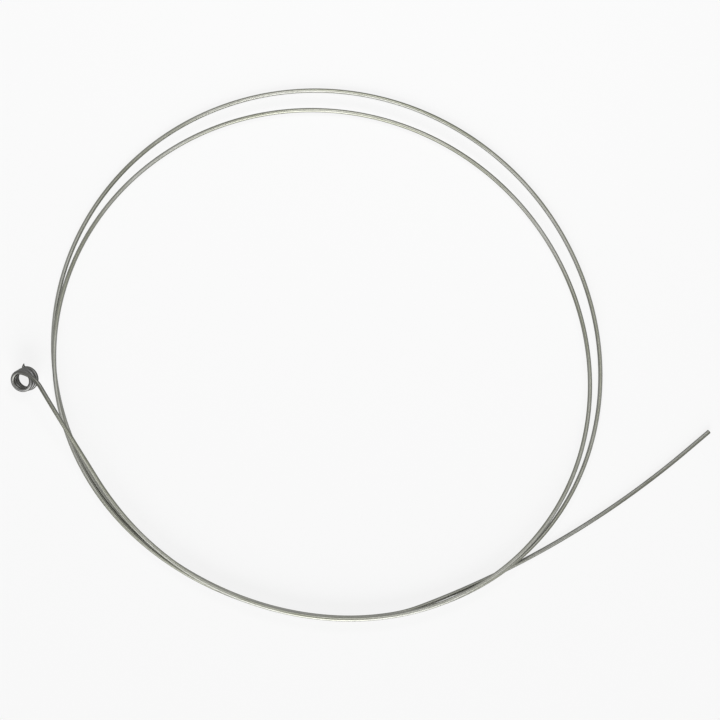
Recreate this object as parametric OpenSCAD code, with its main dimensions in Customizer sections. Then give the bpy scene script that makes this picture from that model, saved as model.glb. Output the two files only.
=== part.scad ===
// Heater valve wire: one stiff, round steel wire in millimetres.
// It has a close-wound eye at one end and a plain cut end at the other, and
// the run between them is formed into a hank of two and a third turns.
// It lies flat, its lowest strand on the plane z = 0, seen from above in +Z.

/* [Wire] */

// Diameter of the wire
wire_d = 1.5; // [1.2:0.1:1.8]
// Free space between strands that lie one over the other
lay_gap = 0.1; // [0.05:0.05:0.4]
// Broken edge of the plain cut end
chamfer = 0.3; // [0.1:0.05:0.4]

/* [Hank] */

// Mean radius of the hank where the first turn starts
radius_start = 87.7; // [82:0.1:90]
// Mean radius of the hank one turn later
radius_middle = 94.3; // [92:0.1:97]
// Mean radius of the hank two turns later
radius_end = 93.5; // [92:0.1:97]
// How far the first turn's centre lies to the right
right_start = -1.2; // [-3:0.1:1]
// How far the centre lies to the right one turn later
right_middle = 0.4; // [-2:0.1:2]
// How far the centre lies to the right two turns later
right_end = -1.6; // [-3:0.1:1]
// How far the first turn's centre lies below
down_start = 7.5; // [6:0.1:9]
// How far the centre lies below one turn later
down_middle = 0.5; // [-1:0.1:2]
// How far the centre lies below two turns later
down_end = -0.5; // [-2:0.1:1]
// Ovalness of the hank at its start, added to the radius along the long way
oval_start = 3.9; // [0:0.1:5]
// Ovalness one turn later
oval_middle = 3.1; // [0:0.1:5]
// Ovalness two turns later
oval_end = 3; // [0:0.1:5]
// Direction of the long way at the start, in degrees from +X
oval_turn_start = 156; // [140:0.5:170]
// Direction of the long way one turn later
oval_turn_middle = 161; // [140:0.5:170]
// Direction of the long way two turns later
oval_turn_end = 141.5; // [130:0.5:160]
// Threefold unroundness of the hank, added to the radius
lobe = 0.9; // [0:0.1:1.5]
// Direction of one of the three wide places, in degrees from +X
lobe_turn = 72.5; // [60:0.5:90]
// Fourfold unroundness of the hank, added to the radius
square = 0.15; // [0:0.05:0.4]
// Direction of one of the four wide places, in degrees from +X
square_turn = 36; // [20:1:50]
// Angle where the hank starts at the lead, in degrees from +X
angle_start = 248; // [244:1:252]
// Angle where the hank ends at the tail, counted on through the turns
angle_end = 1004; // [1000:1:1008]

/* [Lead to the eye] */

// Length of the bent part of the lead next to the hank
lead_bend_length = 63.7; // [60:0.1:68]
// Bend radius of that part, opposite to the hank's bend
lead_bend_r = 100; // [90:0.2:110]
// Length of the straight part next to the eye
lead_straight_length = 36.8; // [34:0.1:42]
// Length over which the lead climbs to the eye
lead_climb_length = 50; // [40:1:60]
// Slope of the lead at the eye, in degrees, positive for climbing
lead_slope = -1.7; // [-5:0.1:5]

/* [Eye] */

// Radius of the eye's first turn, to the middle of the wire
eye_r_first = 3.3; // [3:0.05:3.8]
// Radius of the second turn
eye_r_second = 3.4; // [3:0.05:3.8]
// Radius of the third turn and of what follows it
eye_r_third = 3.55; // [3:0.05:3.8]
// Free space between the eye's turns
eye_gap = 0.3; // [0.15:0.05:0.5]
// Full turns of the eye, after the entry bend
eye_turns = 3.04; // [2.9:0.01:3.3]
// Sideways tilt of the eye, in degrees about the lead
eye_tilt = 24.5; // [18:0.5:30]
// Radius of the easy bend between the lead and the first turn
entry_r = 10.1; // [8:0.1:14]
// Angle of that bend, in degrees
entry_turn = 52; // [40:0.5:60]
// Radius of the sharp outward bend at the free end
stub_bend_r = 1.15; // [1.1:0.05:1.8]
// Angle of that bend, in degrees
stub_turn = 87; // [60:1:100]
// Length of the straight stub after the bend
stub_length = 0.6; // [0.5:0.1:1.5]
// Length of the slanted cut that narrows the stub towards its tip
stub_cut_length = 1.4; // [0.8:0.1:1.8]
// Share of the wire's width that is left at the tip
stub_tip = 0.2; // [0.15:0.05:0.6]

/* [Tail to the plain end] */

// Length of the bent part of the tail next to the hank
tail_bend_length = 9.5; // [7:0.1:12]
// Bend radius of that part
tail_bend_r = 50; // [45:1:60]
// Length of the gently bowed part
tail_bow_length = 109.7; // [100:0.1:116]
// Bend radius of the gently bowed part
tail_bow_r = 316; // [300:1:340]
// Length of the straight plain end
plain_length = 10; // [8:0.5:14]

/* [Hidden] */

// Flat sides around the wire and steps along it
sides = 12;
hank_step = 5;
eye_steps = 24;
bend_steps = 6;
stub_steps = 4;
lead_steps = 18;
tail_steps = 9;

// The many-sided section has the same area as the round wire
section_r = wire_d / 2 * sqrt(2 * PI / (sides * sin(360 / sides)));
// The faceted run reaches this far into the round plain end
overlap = 0.4;
// Height of one strand over the one below it
lay = wire_d + lay_gap;

// Soft step from 0 to 1
function soft(u) = let(v = min(1, max(0, u))) v * v * (3 - 2 * v);

// Value that runs evenly between the turns' values
function between(k, a, b, c) = k < 1 ? a + (b - a) * k : b + (c - b) * (k - 1);

// Number of strands below this place of the hank
function strands_below(angle) = 2 - soft((angle - 330) / 70) - soft((angle - 690) / 70);

// Place of the hank at an angle, with its height
function hank_point(angle) =
    let(
        k = (angle - angle_start) / 360,
        mean = between(k, radius_start, radius_middle, radius_end),
        right = between(k, right_start, right_middle, right_end),
        down = between(k, down_start, down_middle, down_end),
        oval = between(k, oval_start, oval_middle, oval_end),
        oval_turn = between(k, oval_turn_start, oval_turn_middle, oval_turn_end),
        radius = mean + right * cos(angle) - down * sin(angle)
            + oval * cos(2 * (angle - oval_turn))
            + lobe * cos(3 * (angle - lobe_turn))
            + square * cos(4 * (angle - square_turn))
    )
    [radius * cos(angle), radius * sin(angle), wire_d / 2 + lay * strands_below(angle)];

// Direction of the hank in plan, in degrees
function hank_heading(angle) =
    let(d = hank_point(angle + 0.01) - hank_point(angle - 0.01))
    atan2(d.y, d.x);

// Place in plan after a bend, to the left for a positive radius
function bend_point(from, heading, radius, length) =
    let(turned = heading + length / radius * 180 / PI)
    [
        from.x + radius * (sin(turned) - sin(heading)),
        from.y - radius * (cos(turned) - cos(heading))
    ];

// The eye's directions at the lead's end
lead_from = hank_point(angle_start);
lead_heading = hank_heading(angle_start) + 180;
eye_heading = lead_heading - lead_bend_length / lead_bend_r * 180 / PI;
eye_way = [
    cos(eye_heading) * cos(lead_slope),
    sin(eye_heading) * cos(lead_slope),
    sin(lead_slope)
];
eye_left = [-sin(eye_heading), cos(eye_heading), 0];
eye_up = cross(eye_way, eye_left);
eye_middle_way = eye_left * cos(eye_tilt) - eye_up * sin(eye_tilt);
eye_advance = atan((wire_d + eye_gap) / (2 * PI * eye_r_second));
eye_axis = cross(eye_way, eye_middle_way) * cos(eye_advance) - eye_way * sin(eye_advance);

// Direction after a turn about the eye's axis
function turned_way(way, turn) =
    let(along = eye_axis * (way * eye_axis))
    along + (way - along) * cos(turn) + cross(eye_axis, way) * sin(turn);

// Place after a turn about the eye's axis, on a bend of that radius
function turned_point(from, way, radius, turn) =
    let(
        along = eye_axis * (way * eye_axis),
        across = way - along,
        reach = radius / cos(eye_advance)
    )
    from + along * (reach * turn * PI / 180)
        + across * (reach * sin(turn))
        + cross(eye_axis, across) * (reach * (1 - cos(turn)));

// The eye, walked from the lead's end, which is its zero point
turns_way = turned_way(eye_way, entry_turn);
eye_radii = [eye_r_first, eye_r_second, eye_r_third];

// Place where one of the eye's three turns starts
function turn_start(n) =
    n == 0 ? turned_point([0, 0, 0], eye_way, entry_r, entry_turn)
    : turned_point(turn_start(n - 1), turns_way, eye_radii[n - 1], 360);

// Place in the eye after a number of turns
function eye_point(turns) =
    let(n = min(2, floor(turns)))
    turned_point(turn_start(n), turns_way, eye_radii[n], 360 * (turns - n));

bend_from = eye_point(eye_turns);
bend_way = turned_way(turns_way, 360 * eye_turns);
stub_from = turned_point(bend_from, bend_way, -stub_bend_r, -stub_turn);
stub_way = turned_way(bend_way, -stub_turn);
eye_count = round(eye_steps * eye_turns);
eye_run = [
    for (i = [1 : bend_steps])
        turned_point([0, 0, 0], eye_way, entry_r, entry_turn * i / bend_steps),
    for (i = [1 : eye_count])
        eye_point(eye_turns * i / eye_count),
    for (i = [1 : bend_steps])
        turned_point(bend_from, bend_way, -stub_bend_r, -stub_turn * i / bend_steps),
    for (i = [1 : stub_steps])
        stub_from + stub_way * (stub_length * i / stub_steps)
];

// The lead, walked from the hank; it climbs until the eye just clears z = 0
lead_middle = bend_point(lead_from, lead_heading, -lead_bend_r, lead_bend_length);
lead_length = lead_bend_length + lead_straight_length;
lead_rise = wire_d / 2 - min([for (p = eye_run) p.z]) - lead_from.z;

function lead_height(along) =
    let(u = max(0, along - lead_length + lead_climb_length) / lead_climb_length)
    lead_from.z + lead_rise * soft(u) + lead_climb_length * tan(lead_slope) * u * u * (u - 1);

function lead_point(along) =
    let(
        place = along < lead_bend_length
            ? bend_point(lead_from, lead_heading, -lead_bend_r, along)
            : lead_middle + (along - lead_bend_length) * [cos(eye_heading), sin(eye_heading)]
    )
    [place.x, place.y, lead_height(along)];

eye_from = lead_point(lead_length);

// The tail, walked from the hank to the plain end
tail_from = hank_point(angle_end);
tail_heading = hank_heading(angle_end);
tail_middle = bend_point(tail_from, tail_heading, tail_bend_r, tail_bend_length);
tail_middle_heading = tail_heading + tail_bend_length / tail_bend_r * 180 / PI;
plain_from = bend_point(tail_middle, tail_middle_heading, tail_bow_r, tail_bow_length);
plain_heading = tail_middle_heading + tail_bow_length / tail_bow_r * 180 / PI;

// Every ring's middle, from the stub to the plain end
hank_count = ceil((angle_end - angle_start) / hank_step);
route = [
    for (i = [len(eye_run) - 1 : -1 : 0])
        eye_from + eye_run[i],
    for (i = [lead_steps : -1 : 1])
        lead_point(lead_length * i / lead_steps),
    for (i = [0 : hank_count])
        hank_point(angle_start + (angle_end - angle_start) * i / hank_count),
    for (i = [1 : bend_steps])
        concat(
            bend_point(tail_from, tail_heading, tail_bend_r, tail_bend_length * i / bend_steps),
            wire_d / 2
        ),
    for (i = [1 : tail_steps])
        concat(
            bend_point(tail_middle, tail_middle_heading, tail_bow_r, tail_bow_length * i / tail_steps),
            wire_d / 2
        ),
    [
        plain_from.x + overlap * cos(plain_heading),
        plain_from.y + overlap * sin(plain_heading),
        wire_d / 2
    ]
];
last = len(route) - 1;

function unit(v) = v / norm(v);

// Direction of the wire at a ring
function way_at(i) =
    i == 0 ? unit(route[1] - route[0])
    : i == last ? unit(route[last] - route[last - 1])
    : unit(unit(route[i + 1] - route[i]) + unit(route[i] - route[i - 1]));

// Share of the wire's width that the slanted cut leaves at a ring
function width_left(i) =
    i >= stub_steps + bend_steps ? 1
    : min(1, stub_tip + (1 - stub_tip) * norm(route[i] - route[0]) / stub_cut_length);

// Corners of a ring; the cut takes the width away from one side
function ring(i) =
    let(
        way = way_at(i),
        side = unit(cross([0, 0, 1], way)),
        up = cross(way, side)
    )
    [
        for (j = [0 : sides - 1])
            let(
                turn = 360 * (j + 0.5) / sides,
                across = section_r * (1 - (1 - cos(turn)) * width_left(i))
            )
            route[i] + side * across + up * (section_r * sin(turn))
    ];

corners = [for (i = [0 : last]) each ring(i)];
skin = [
    [for (j = [0 : sides - 1]) j],
    for (i = [0 : last - 1])
        for (j = [0 : sides - 1])
            let(
                k = (j + 1) % sides,
                a = i * sides
            )
            each [
                [a + j, a + sides + j, a + sides + k],
                [a + j, a + sides + k, a + k]
            ],
    [for (j = [sides - 1 : -1 : 0]) last * sides + j]
];

// Middle of the part in plan
tip = [
    plain_from.x + plain_length * cos(plain_heading),
    plain_from.y + plain_length * sin(plain_heading)
];
all_x = [for (c = corners) c.x, tip.x + wire_d / 2 * abs(sin(plain_heading))];
all_y = [for (c = corners) c.y, tip.y + wire_d / 2 * abs(cos(plain_heading))];
middle = [(min(all_x) + max(all_x)) / 2, (min(all_y) + max(all_y)) / 2, 0];

// The whole wire
module wire() {
    color([0.62, 0.63, 0.62])
        translate(-middle) {
            polyhedron(points = corners, faces = skin, convexity = 10);
            translate([plain_from.x, plain_from.y, wire_d / 2])
                rotate([0, 90, plain_heading])
                    plain_end();
        }
}

// The straight round end, along +Z from its start
module plain_end() {
    cylinder(h = plain_length - chamfer, d = wire_d, $fn = 48);
    translate([0, 0, plain_length - chamfer])
        cylinder(h = chamfer, d1 = wire_d, d2 = wire_d - 2 * chamfer, $fn = 48);
}

wire();
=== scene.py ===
"""Heater valve wire: the looks of one stiff steel wire, in metres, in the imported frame.

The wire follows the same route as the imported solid: a stub, the close-wound
eye, the lead, the hank, the tail and the plain end. From the eye to the tail it
goes round about two and a third times.
"""

from math import atan2, cos, pi, radians, sin, tan

import bpy
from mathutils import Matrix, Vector


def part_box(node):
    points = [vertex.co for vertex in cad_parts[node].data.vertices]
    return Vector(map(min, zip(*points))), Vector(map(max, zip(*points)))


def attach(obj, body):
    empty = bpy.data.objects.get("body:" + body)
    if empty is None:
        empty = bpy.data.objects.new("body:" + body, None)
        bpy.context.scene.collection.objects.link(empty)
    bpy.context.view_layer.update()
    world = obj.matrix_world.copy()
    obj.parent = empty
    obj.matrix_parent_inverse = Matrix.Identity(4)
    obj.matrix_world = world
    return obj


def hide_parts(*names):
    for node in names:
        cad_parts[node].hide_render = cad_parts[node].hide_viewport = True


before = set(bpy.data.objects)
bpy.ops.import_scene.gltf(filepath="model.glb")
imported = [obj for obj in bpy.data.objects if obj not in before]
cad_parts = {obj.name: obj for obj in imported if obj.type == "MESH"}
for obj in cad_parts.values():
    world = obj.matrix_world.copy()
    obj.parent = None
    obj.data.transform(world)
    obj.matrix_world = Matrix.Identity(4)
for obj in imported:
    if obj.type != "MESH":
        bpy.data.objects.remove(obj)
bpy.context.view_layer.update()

# Wire
WIRE_D = 0.0015
WIRE_R = WIRE_D / 2
LAY_GAP = 0.0001
LAY = WIRE_D + LAY_GAP
TIP_ROUND = 0.0003
UP = Vector((0, 0, 1))

# Hank: each triple holds the values at the start, one turn and two turns later
MEAN_RADIUS = (0.0877, 0.0943, 0.0935)
RIGHT = (-0.0012, 0.0004, -0.0016)
DOWN = (0.0075, 0.0005, -0.0005)
OVAL = (0.0039, 0.0031, 0.003)
OVAL_TURN = (radians(156), radians(161), radians(141.5))
LOBE = 0.0009
LOBE_TURN = radians(72.5)
SQUARE = 0.00015
SQUARE_TURN = radians(36)
ANGLE_START = radians(248)
ANGLE_END = radians(1004)
SINK = radians(70)
FIRST_SINK = radians(330)
SECOND_SINK = radians(690)

# Lead to the eye
LEAD_BEND_LENGTH = 0.0637
LEAD_BEND_R = 0.1
LEAD_STRAIGHT_LENGTH = 0.0368
LEAD_CLIMB_LENGTH = 0.05
LEAD_SLOPE = radians(-1.7)

# Eye
EYE_RADII = (0.0033, 0.0034, 0.00355)
EYE_GAP = 0.0003
EYE_TURNS = 3.04
EYE_TILT = radians(24.5)
ENTRY_R = 0.0101
ENTRY_TURN = radians(52)
STUB_BEND_R = 0.00115
STUB_TURN = radians(87)
STUB_LENGTH = 0.0006
# The slanted cut takes this length, and leaves this share of the thickness at the tip
STUB_CUT_LENGTH = 0.0014
STUB_TIP = 0.2

# Tail to the plain end
TAIL_BEND_LENGTH = 0.0095
TAIL_BEND_R = 0.05
TAIL_BOW_LENGTH = 0.1097
TAIL_BOW_R = 0.316
PLAIN_LENGTH = 0.01

# Mesh
SIDES = 28
HANK_STEP = radians(1.5)
HEADING_STEP = 0.0002
EYE_STEPS = 72
BEND_STEPS = 18
STUB_STEPS = 6
TIP_STEPS = 4
RUN_STEP = 0.0015

# Camera: the middle of the photograph's frame from the hank's centre
FRAME_MIDDLE = (0.01102, -0.00158)
FRAME_WIDTH = 0.252
CAMERA_HEIGHT = 0.8
SENSOR = 36
CAMERA_REACH = 10

# Noise in the steel: scales across and along the wire, for a metre, and detail
LINES = (9000, 90, 3)
PATCHES = (400, 120, 4)
STREAKS = (1100, 14, 2)
GRAIN = (6000, 6000, 2)
NOISE_ROUGHNESS = 0.6

# Colours over the noise, each with its place on the ramp
WHITE = (1, 1, 1)
PATCH_COLOURS = [
    (0.3, (0.22, 0.222, 0.2)),
    (0.5, (0.247, 0.249, 0.23)),
    (0.72, (0.276, 0.277, 0.262)),
]
LINE_SHADES = [(0.3, (0.94, 0.94, 0.94)), (0.7, WHITE)]
STREAK_LOW = 0.36
STREAK_HIGH = 0.62
STREAK_SHADES = [
    (STREAK_LOW, (0.6, 0.61, 0.52)),
    (0.5, (0.85, 0.85, 0.81)),
    (STREAK_HIGH, WHITE),
]
GRAIN_COLOURS = [(0.3, (0.4, 0.4, 0.38)), (0.7, (0.6, 0.6, 0.58))]
FLOOR_COLOURS = [(0.3, (0.93, 0.93, 0.93)), (0.7, (0.95, 0.95, 0.95))]

# Tone along the wire, measured from the eye's free end: a darker, cooler eye, pale hank, and
# painted shade on the tail
SHADE_SPAN = 1.6
EYE_TONE_AND_TAIL_PAINTED_SHADE = [
    (0.07 / SHADE_SPAN, (0.5, 0.495, 0.535)),
    (0.1 / SHADE_SPAN, WHITE),
    (1.39 / SHADE_SPAN, WHITE),
    # Painted shade: the tail is darkened to stand in for its shaded flank
    (1.43 / SHADE_SPAN, (0.66, 0.66, 0.66)),
]

# Gloss and relief: streaks go from the first roughness to the second
STREAK_ROUGHNESS = (0.34, 0.46)
LINE_STRENGTH = 0.05
LINE_DEPTH = 0.00002
CUT_ROUGHNESS = 0.45
GRAIN_STRENGTH = 0.4
GRAIN_DEPTH = 0.00003

# Floor and studio
FLOOR_HALF = 3
MOTTLE_SCALE = 3.0
MOTTLE_DETAIL = 2.0
FLOOR_GLOW = 0.94
FLOOR_GLOW_SHARE = 0.9
STUDIO_GREY = (0.5, 0.5, 0.5, 1)
STUDIO_STRENGTH = 0.1

# Far lamps: name, side that they shine from, angle that they fill, and strength
FAR_LAMPS = [
    ("top", (0.25, 0.05, 0.9), radians(24), 0.55),
    ("front", (0, -1.1, 0.5), radians(45), 4.15),
    ("corner", (-0.65, -0.9, 0.55), radians(36), 0.85),
]
# Near lamp: name, place, size and power
NEAR_LAMP = ("near", (0, 0.2, 0.3), 0.1, 0.45)


def soft(u):
    """Soft step from 0 to 1."""
    v = min(1, max(0, u))
    return v * v * (3 - 2 * v)


def between(k, values):
    """Value that runs evenly between the turns' values."""
    first, second, third = values
    if k < 1:
        return first + (second - first) * k
    return second + (third - second) * (k - 1)


def strands_below(angle):
    """Number of strands under this place of the hank."""
    return 2 - soft((angle - FIRST_SINK) / SINK) - soft((angle - SECOND_SINK) / SINK)


def hank_point(angle):
    """Place of the hank at an angle, with its height."""
    k = (angle - ANGLE_START) / (2 * pi)
    radius = between(k, MEAN_RADIUS)
    radius += between(k, RIGHT) * cos(angle) - between(k, DOWN) * sin(angle)
    radius += between(k, OVAL) * cos(2 * (angle - between(k, OVAL_TURN)))
    radius += LOBE * cos(3 * (angle - LOBE_TURN)) + SQUARE * cos(4 * (angle - SQUARE_TURN))
    height = WIRE_R + LAY * strands_below(angle)
    return Vector((radius * cos(angle), radius * sin(angle), height))


def hank_heading(angle):
    """Direction of the hank in plan."""
    way = hank_point(angle + HEADING_STEP) - hank_point(angle - HEADING_STEP)
    return atan2(way.y, way.x)


def bend_point(start, heading, radius, length, height):
    """Place after a flat bend, to the left for a positive radius."""
    turned = heading + length / radius
    return Vector((
        start.x + radius * (sin(turned) - sin(heading)),
        start.y - radius * (cos(turned) - cos(heading)),
        height,
    ))


def steps(length, step):
    """Shares of a run, after its start, one for each step."""
    count = max(1, round(length / step))
    return [(i + 1) / count for i in range(count)]


class Eye:
    """The eye's turns about a slanted axis, walked from the lead's end as zero."""

    def __init__(self, heading):
        way = Vector((
            cos(heading) * cos(LEAD_SLOPE),
            sin(heading) * cos(LEAD_SLOPE),
            sin(LEAD_SLOPE),
        ))
        left = Vector((-sin(heading), cos(heading), 0))
        middle_way = left * cos(EYE_TILT) - way.cross(left) * sin(EYE_TILT)
        self.advance = atan2(WIRE_D + EYE_GAP, 2 * pi * EYE_RADII[1])
        self.axis = way.cross(middle_way) * cos(self.advance) - way * sin(self.advance)
        self.points = []
        place, way = self.bend(Vector((0, 0, 0)), way, ENTRY_R, ENTRY_TURN, BEND_STEPS)
        for radius, turns in zip(EYE_RADII, (1, 1, EYE_TURNS - 2)):
            place, way = self.bend(place, way, radius, 2 * pi * turns, round(EYE_STEPS * turns))
        place, way = self.bend(place, way, -STUB_BEND_R, -STUB_TURN, BEND_STEPS)
        for i in range(1, STUB_STEPS + 1):
            self.points.append(place + way * (STUB_LENGTH * i / STUB_STEPS))

    def bend(self, start, way, radius, turn, count):
        """Adds a bend's points, and returns its end and its direction there."""
        along = self.axis * way.dot(self.axis)
        across = way - along
        inward = self.axis.cross(across)
        reach = radius / cos(self.advance)
        for i in range(1, count + 1):
            a = turn * i / count
            place = start + (along * a + across * sin(a) + inward * (1 - cos(a))) * reach
            self.points.append(place)
        return place, along + across * cos(turn) + inward * sin(turn)


def lead_points():
    """The lead from the hank to the eye, and the eye after it."""
    start = hank_point(ANGLE_START)
    heading = hank_heading(ANGLE_START) + pi
    middle = bend_point(start, heading, -LEAD_BEND_R, LEAD_BEND_LENGTH, 0)
    eye_heading = heading - LEAD_BEND_LENGTH / LEAD_BEND_R
    way = Vector((cos(eye_heading), sin(eye_heading), 0))
    eye = Eye(eye_heading)
    rise = WIRE_R - min(p.z for p in eye.points) - start.z
    length = LEAD_BEND_LENGTH + LEAD_STRAIGHT_LENGTH

    def lead_point(along):
        u = max(0, along - length + LEAD_CLIMB_LENGTH) / LEAD_CLIMB_LENGTH
        dip = LEAD_CLIMB_LENGTH * tan(LEAD_SLOPE) * u * u * (u - 1)
        height = start.z + rise * soft(u) + dip
        if along < LEAD_BEND_LENGTH:
            return bend_point(start, heading, -LEAD_BEND_R, along, height)
        place = middle + way * (along - LEAD_BEND_LENGTH)
        return Vector((place.x, place.y, height))

    lead = [lead_point(length * share) for share in steps(length, RUN_STEP)]
    return lead + [lead[-1] + p for p in eye.points]


def tail_points():
    """The tail from the hank to the start of the plain end, and that end's direction."""
    start = hank_point(ANGLE_END)
    heading = hank_heading(ANGLE_END)
    middle = bend_point(start, heading, TAIL_BEND_R, TAIL_BEND_LENGTH, start.z)
    middle_heading = heading + TAIL_BEND_LENGTH / TAIL_BEND_R
    points = [
        bend_point(start, heading, TAIL_BEND_R, TAIL_BEND_LENGTH * share, start.z)
        for share in steps(TAIL_BEND_LENGTH, RUN_STEP)
    ]
    points += [
        bend_point(middle, middle_heading, TAIL_BOW_R, TAIL_BOW_LENGTH * share, start.z)
        for share in steps(TAIL_BOW_LENGTH, RUN_STEP)
    ]
    last = middle_heading + TAIL_BOW_LENGTH / TAIL_BOW_R
    return points, Vector((cos(last), sin(last), 0))


def wire_route():
    """All rings' middles from the stub to the plain tip, with their radii and widths.

    A width is the share of a ring that the slanted cut at the stub leaves.
    """
    count = round((ANGLE_END - ANGLE_START) / HANK_STEP)
    route = lead_points()[::-1]
    route += [
        hank_point(ANGLE_START + (ANGLE_END - ANGLE_START) * i / count)
        for i in range(count + 1)
    ]
    tail, way = tail_points()
    route += tail
    start = route[-1]
    body = PLAIN_LENGTH - TIP_ROUND
    route += [start + way * (body * share) for share in steps(body, RUN_STEP)]
    radii = [WIRE_R] * len(route)
    for i in range(1, TIP_STEPS + 1):
        a = pi / 2 * i / TIP_STEPS
        route.append(start + way * (body + TIP_ROUND * sin(a)))
        radii.append(WIRE_R - TIP_ROUND * (1 - cos(a)))
    widths = [1] * len(route)
    for i in range(STUB_STEPS + BEND_STEPS):
        reach = (route[i] - route[0]).length / STUB_CUT_LENGTH
        widths[i] = min(1, STUB_TIP + (1 - STUB_TIP) * reach)
    return route, radii, widths


def ring_frames(route):
    """Direction, side and up of the wire at each ring."""
    frames = []
    for i in range(len(route)):
        before = route[max(0, i - 1)]
        after = route[min(len(route) - 1, i + 1)]
        way = (after - before).normalized()
        side = UP.cross(way).normalized()
        frames.append((way, side, way.cross(side)))
    return frames


def wire_mesh(route, radii, widths):
    """Round tube along the route, with its place along the wire kept at each corner."""
    corners = []
    strand = []
    along = 0
    for i, (way, side, up) in enumerate(ring_frames(route)):
        if i:
            along += (route[i] - route[i - 1]).length
        for j in range(SIDES):
            turn = 2 * pi * j / SIDES
            across = radii[i] * (1 - (1 - cos(turn)) * widths[i])
            rise = radii[i] * sin(turn)
            corners.append(route[i] + side * across + up * rise)
            strand.append((across, rise, along))
    last = (len(route) - 1) * SIDES
    faces = [tuple(range(SIDES))]
    for i in range(len(route) - 1):
        for j in range(SIDES):
            k = (j + 1) % SIDES
            a = i * SIDES
            faces.append((a + j, a + SIDES + j, a + SIDES + k, a + k))
    faces.append(tuple(last + j for j in range(SIDES - 1, -1, -1)))

    mesh = bpy.data.meshes.new("wire_run")
    mesh.from_pydata([tuple(c) for c in corners], [], faces)
    mesh.attributes.new("strand", "FLOAT_VECTOR", "POINT").data.foreach_set(
        "vector", [value for triple in strand for value in triple]
    )
    ends = {0, len(faces) - 1}
    for face in mesh.polygons:
        face.use_smooth = face.index not in ends
        face.material_index = 1 if face.index in ends else 0
    rims = {frozenset((j, (j + 1) % SIDES)) for j in range(SIDES)}
    rims |= {frozenset((last + j, last + (j + 1) % SIDES)) for j in range(SIDES)}
    for edge in mesh.edges:
        edge.use_edge_sharp = frozenset(edge.vertices) in rims
    mesh.validate()
    return mesh


def put_in_frame(route, radii):
    """Shift that brings the wire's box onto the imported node's box."""
    low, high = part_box("wire")
    frames = ring_frames(route)
    shift = Vector((0, 0, low[2] + WIRE_R - min(p.z for p in route)))
    for axis in range(2):
        reach = [r * (1 - way[axis] ** 2) ** 0.5 for r, (way, side, up) in zip(radii, frames)]
        least = min(p[axis] - r for p, r in zip(route, reach))
        most = max(p[axis] + r for p, r in zip(route, reach))
        shift[axis] = (low[axis] + high[axis] - least - most) / 2
    return shift


def add_camera(shift):
    """Camera straight above, on the middle of the photograph's frame."""
    data = bpy.data.cameras.new("camera")
    data.sensor_width = SENSOR
    data.lens = SENSOR * (CAMERA_HEIGHT - WIRE_R - LAY) / FRAME_WIDTH
    data.clip_end = CAMERA_REACH
    camera = bpy.data.objects.new("camera", data)
    camera.location = (FRAME_MIDDLE[0] + shift.x, FRAME_MIDDLE[1] + shift.y, CAMERA_HEIGHT)
    bpy.context.collection.objects.link(camera)
    bpy.context.scene.camera = camera


def new_material(name):
    """Empty node material and its output."""
    material = bpy.data.materials.new(name)
    material.use_nodes = True
    tree = material.node_tree
    tree.nodes.clear()
    return material, tree, tree.nodes.new("ShaderNodeOutputMaterial")


def node(tree, kind, inputs=None, **settings):
    """New node with its settings and the given input values or links."""
    made = tree.nodes.new(kind)
    for name, value in settings.items():
        setattr(made, name, value)
    for name, value in (inputs or {}).items():
        if isinstance(value, bpy.types.NodeSocket):
            tree.links.new(value, made.inputs[name])
        else:
            made.inputs[name].default_value = value
    return made


def ramp(tree, factor, stops):
    """Colour ramp with stops of place and colour."""
    made = node(tree, "ShaderNodeValToRGB", {"Fac": factor})
    band = made.color_ramp
    while len(band.elements) < len(stops):
        band.elements.new(0.5)
    for element, (place, colour) in zip(band.elements, stops):
        element.position = place
        element.color = (*colour, 1)
    return made.outputs["Color"]


def strand_place(tree):
    """Place in the wire's own directions: across, up and along, in metres."""
    place = node(tree, "ShaderNodeAttribute", attribute_name="strand")
    return place.outputs["Vector"]


def stretched_noise(tree, across, along, detail):
    """Noise in the wire's own directions, with scales for a metre."""
    scaled = node(
        tree,
        "ShaderNodeVectorMath",
        {0: strand_place(tree), 1: (across, across, along)},
        operation="MULTIPLY",
    )
    noise = node(
        tree,
        "ShaderNodeTexNoise",
        {
            "Vector": scaled.outputs["Vector"],
            "Scale": 1,
            "Detail": detail,
            "Roughness": NOISE_ROUGHNESS,
        },
    )
    return noise.outputs["Fac"]


def multiply(tree, first, second):
    """Product of two colours."""
    made = node(
        tree,
        "ShaderNodeMix",
        {"Factor": 1.0, "A": first, "B": second},
        data_type="RGBA",
        blend_type="MULTIPLY",
    )
    return made.outputs["Result"]


def eye_tone_and_tail_painted_shade(tree):
    """The eye is darker and cooler than the hank, and the tail carries painted shade."""
    parts = node(tree, "ShaderNodeSeparateXYZ", {"Vector": strand_place(tree)})
    share = node(
        tree,
        "ShaderNodeMapRange",
        {"Value": parts.outputs["Z"], "From Max": SHADE_SPAN},
    )
    return ramp(tree, share.outputs["Result"], EYE_TONE_AND_TAIL_PAINTED_SHADE)


def steel_surface(tree, output, colour, rough, relief, strength, depth):
    """Metal with this colour and roughness, and relief of this depth in metres."""
    bump = node(
        tree,
        "ShaderNodeBump",
        {"Strength": strength, "Distance": depth, "Height": relief},
    )
    shader = node(
        tree,
        "ShaderNodeBsdfPrincipled",
        {
            "Base Color": colour,
            "Metallic": 1.0,
            "Roughness": rough,
            "Normal": bump.outputs["Normal"],
        },
    )
    tree.links.new(shader.outputs["BSDF"], output.inputs["Surface"])


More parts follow.
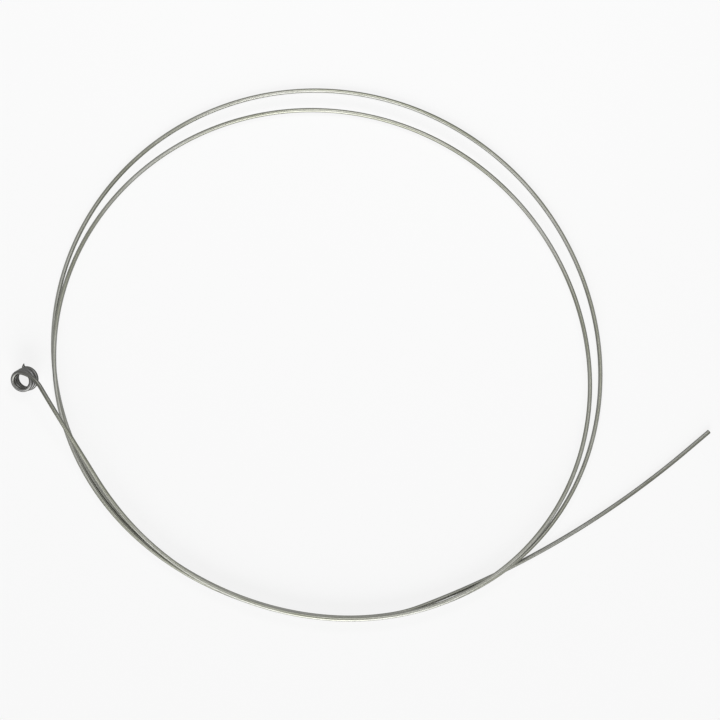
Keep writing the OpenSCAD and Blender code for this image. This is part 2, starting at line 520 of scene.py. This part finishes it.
def drawn_steel():
    """Drawn steel: fine lines and long olive streaks along the wire, and dull patches, with a
    darker, cooler eye and painted shade on the tail.
    """
    material, tree, output = new_material("drawn_steel")
    lines = stretched_noise(tree, *LINES)
    patches = stretched_noise(tree, *PATCHES)
    streaks = stretched_noise(tree, *STREAKS)
    shade = multiply(tree, ramp(tree, lines, LINE_SHADES), ramp(tree, streaks, STREAK_SHADES))
    colour = multiply(tree, ramp(tree, patches, PATCH_COLOURS), shade)
    rough = node(
        tree,
        "ShaderNodeMapRange",
        {
            "Value": streaks,
            "From Min": STREAK_LOW,
            "From Max": STREAK_HIGH,
            "To Min": STREAK_ROUGHNESS[0],
            "To Max": STREAK_ROUGHNESS[1],
        },
    )
    steel_surface(
        tree,
        output,
        # times the darker, cooler eye and the tail's painted shade
        multiply(tree, colour, eye_tone_and_tail_painted_shade(tree)),
        rough.outputs["Result"],
        lines,
        LINE_STRENGTH,
        LINE_DEPTH,
    )
    return material


def cut_steel():
    """Freshly cut end: brighter, with a coarse grain."""
    material, tree, output = new_material("cut_steel")
    grain = stretched_noise(tree, *GRAIN)
    colour = ramp(tree, grain, GRAIN_COLOURS)
    steel_surface(tree, output, colour, CUT_ROUGHNESS, grain, GRAIN_STRENGTH, GRAIN_DEPTH)
    return material


def direct_ray(tree):
    """1 for rays from the camera, and for those mirrored or let through on their way."""
    path = node(tree, "ShaderNodeLightPath")
    direct = path.outputs["Is Camera Ray"]
    for name in ("Is Glossy Ray", "Is Transmission Ray"):
        direct = node(
            tree,
            "ShaderNodeMath",
            {0: direct, 1: path.outputs[name]},
            operation="MAXIMUM",
        ).outputs["Value"]
    return direct


def mix_surfaces(tree, output, share, first, second):
    """Puts out the first shader, and this share of the second."""
    mix = node(tree, "ShaderNodeMixShader", {0: share, 1: first, 2: second})
    tree.links.new(mix.outputs["Shader"], output.inputs["Surface"])


def floor_white():
    """White floor that keeps a soft shadow."""
    material, tree, output = new_material("floor_white")
    mottle = node(tree, "ShaderNodeTexNoise", {"Scale": MOTTLE_SCALE, "Detail": MOTTLE_DETAIL})
    colour = ramp(tree, mottle.outputs["Fac"], FLOOR_COLOURS)
    matt = node(tree, "ShaderNodeBsdfDiffuse", {"Color": colour})
    glow = node(tree, "ShaderNodeEmission", {"Color": (*WHITE, 1), "Strength": FLOOR_GLOW})
    share = node(
        tree,
        "ShaderNodeMath",
        {0: direct_ray(tree), 1: FLOOR_GLOW_SHARE},
        operation="MULTIPLY",
    )
    mix_surfaces(
        tree,
        output,
        share.outputs["Value"],
        matt.outputs["BSDF"],
        glow.outputs["Emission"],
    )
    return material


def add_floor():
    """Plain floor under the wire."""
    half = FLOOR_HALF
    corners = [(-half, -half, 0), (half, -half, 0), (half, half, 0), (-half, half, 0)]
    mesh = bpy.data.meshes.new("floor")
    mesh.from_pydata(corners, [], [(0, 1, 2, 3)])
    floor = bpy.data.objects.new("floor", mesh)
    floor.location = (0, 0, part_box("wire")[0][2])
    floor.data.materials.append(floor_white())
    bpy.context.collection.objects.link(floor)


def add_world():
    """White where the camera or a mirrored ray sees it, and a dim studio for the rest."""
    world = bpy.data.worlds.new("studio")
    world.use_nodes = True
    tree = world.node_tree
    tree.nodes.clear()
    output = tree.nodes.new("ShaderNodeOutputWorld")
    white = node(tree, "ShaderNodeBackground", {"Color": (*WHITE, 1), "Strength": 1.0})
    studio = node(
        tree,
        "ShaderNodeBackground",
        {"Color": STUDIO_GREY, "Strength": STUDIO_STRENGTH},
    )
    mix_surfaces(
        tree,
        output,
        direct_ray(tree),
        studio.outputs["Background"],
        white.outputs["Background"],
    )
    bpy.context.scene.world = world


def add_lamp(name, kind, place, energy):
    """Lamp at this place that faces the wire."""
    data = bpy.data.lights.new(name, kind)
    data.energy = energy
    lamp = bpy.data.objects.new(name, data)
    lamp.location = place
    lamp.rotation_euler = (-Vector(place)).to_track_quat("-Z", "Y").to_euler()
    bpy.context.collection.objects.link(lamp)
    return data


def add_far_lamp(name, place, width, strength):
    """Wide soft lamp on this side, which lights the whole floor evenly."""
    add_lamp(name, "SUN", place, strength).angle = width


def add_near_lamp(name, place, size, power):
    """Small square lamp close to the wire."""
    data = add_lamp(name, "AREA", place, power)
    data.shape = "SQUARE"
    data.size = size


def main():
    """Builds the scene."""
    route, radii, widths = wire_route()
    shift = put_in_frame(route, radii)
    route = [p + shift for p in route]
    add_camera(shift)

    run = bpy.data.objects.new("wire_run", wire_mesh(route, radii, widths))
    bpy.context.collection.objects.link(run)
    run.data.materials.append(drawn_steel())
    run.data.materials.append(cut_steel())
    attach(run, "root")
    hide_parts("wire")

    add_floor()
    add_world()
    for lamp in FAR_LAMPS:
        add_far_lamp(*lamp)
    add_near_lamp(*NEAR_LAMP)
    bpy.context.scene.view_settings.view_transform = "Standard"


main()
